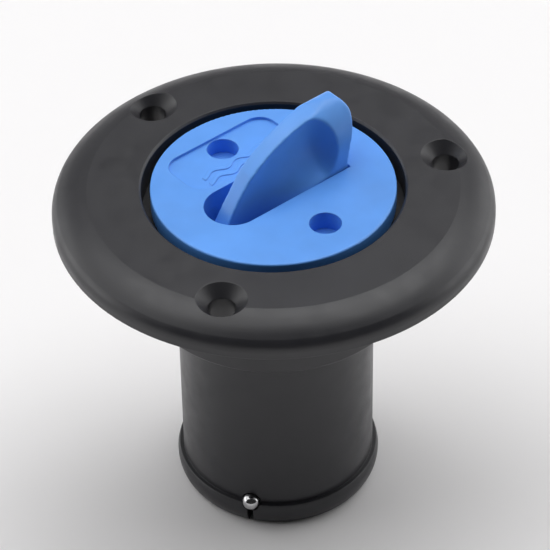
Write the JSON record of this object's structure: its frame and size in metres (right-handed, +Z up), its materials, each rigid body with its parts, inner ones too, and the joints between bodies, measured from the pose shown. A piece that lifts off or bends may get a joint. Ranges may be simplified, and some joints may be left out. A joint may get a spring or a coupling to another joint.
{
  "type": "deck fill cap",
  "caption": "Flush deck fill fitting: round screw-down flange with hose tail, screw-in cap with fold-flat turning handle, retained by a ball chain.",
  "frame": {"origin": "centre of the flange's underside, where the fill axis meets the deck plane", "axes": "+Z up out of the deck along the fill axis; -Y through the screw hole that lines up with the chain keyhole in the hose tail"},
  "size_m": [0.0834, 0.0834, 0.085],
  "materials": {
    "black_plastic": "fine satin moulding grain, soft sheen",
    "blue_plastic": "satin moulded blue",
    "black_rubber": "matte",
    "stainless": "drawn",
    "bright_steel": "bright, lightly tumbled"
  },
  "bodies": {
    "deck_fitting": {"deck_flange": "black_plastic", "threaded_cup": "black_plastic", "tail_tube": "black_plastic", "chain_ball_09": "bright_steel", "chain_ball_10": "bright_steel", "chain_ball_11": "bright_steel", "chain_ball_12": "bright_steel", "chain_ball_13": "bright_steel", "chain_ball_14": "bright_steel", "chain_ball_15": "bright_steel", "chain_ball_16": "bright_steel", "chain_ball_17": "bright_steel", "chain_ball_18": "bright_steel", "chain_ball_19": "bright_steel", "chain_ball_20": "bright_steel", "chain_ball_21": "bright_steel", "chain_ball_22": "bright_steel", "chain_ball_23": "bright_steel", "chain_ball_24": "bright_steel", "chain_ball_25": "bright_steel", "chain_ball_26": "bright_steel", "chain_link_08": "bright_steel", "chain_link_09": "bright_steel", "chain_link_10": "bright_steel", "chain_link_11": "bright_steel", "chain_link_12": "bright_steel", "chain_link_13": "bright_steel", "chain_link_14": "bright_steel", "chain_link_15": "bright_steel", "chain_link_16": "bright_steel", "chain_link_17": "bright_steel", "chain_link_18": "bright_steel", "chain_link_19": "bright_steel", "chain_link_20": "bright_steel", "chain_link_21": "bright_steel", "chain_link_22": "bright_steel", "chain_link_23": "bright_steel", "chain_link_24": "bright_steel", "chain_link_25": "bright_steel"},
    "chain_top": {"chain_ball_01": "bright_steel", "chain_ball_02": "bright_steel", "chain_ball_03": "bright_steel", "chain_ball_04": "bright_steel", "chain_ball_05": "bright_steel", "chain_ball_06": "bright_steel", "chain_ball_07": "bright_steel", "chain_ball_08": "bright_steel", "chain_link_01": "bright_steel", "chain_link_02": "bright_steel", "chain_link_03": "bright_steel", "chain_link_04": "bright_steel", "chain_link_05": "bright_steel", "chain_link_06": "bright_steel", "chain_link_07": "bright_steel"},
    "cap": {"cap_disc": "blue_plastic", "threaded_plug": "blue_plastic", "pocket_housing": "blue_plastic", "cap_o_ring": "black_rubber", "handle_pin": "stainless"},
    "folding_handle": {"handle": "blue_plastic"}
  },
  "joints": [
    {"name": "cap_rise", "type": "slide", "parent": "deck_fitting", "child": "chain_top", "axis": [0, 0, 1], "range_m": [0, 0.01051]},
    {"name": "cap_turn", "type": "hinge", "parent": "chain_top", "child": "cap", "pos_m": [0, 0, 0], "axis": [0, 0, 1], "range_deg": [0, 630]},
    {"name": "handle_fold", "type": "hinge", "parent": "cap", "child": "folding_handle", "pos_m": [0.00503, 0.00746, 0.00105], "axis": [0.829, -0.5592, 0], "range_deg": [0, 97]}
  ],
  "couplings": [
    {"joint": "cap_rise", "follows": "cap_turn", "m_per_rad": 0.00095493}
  ]
}
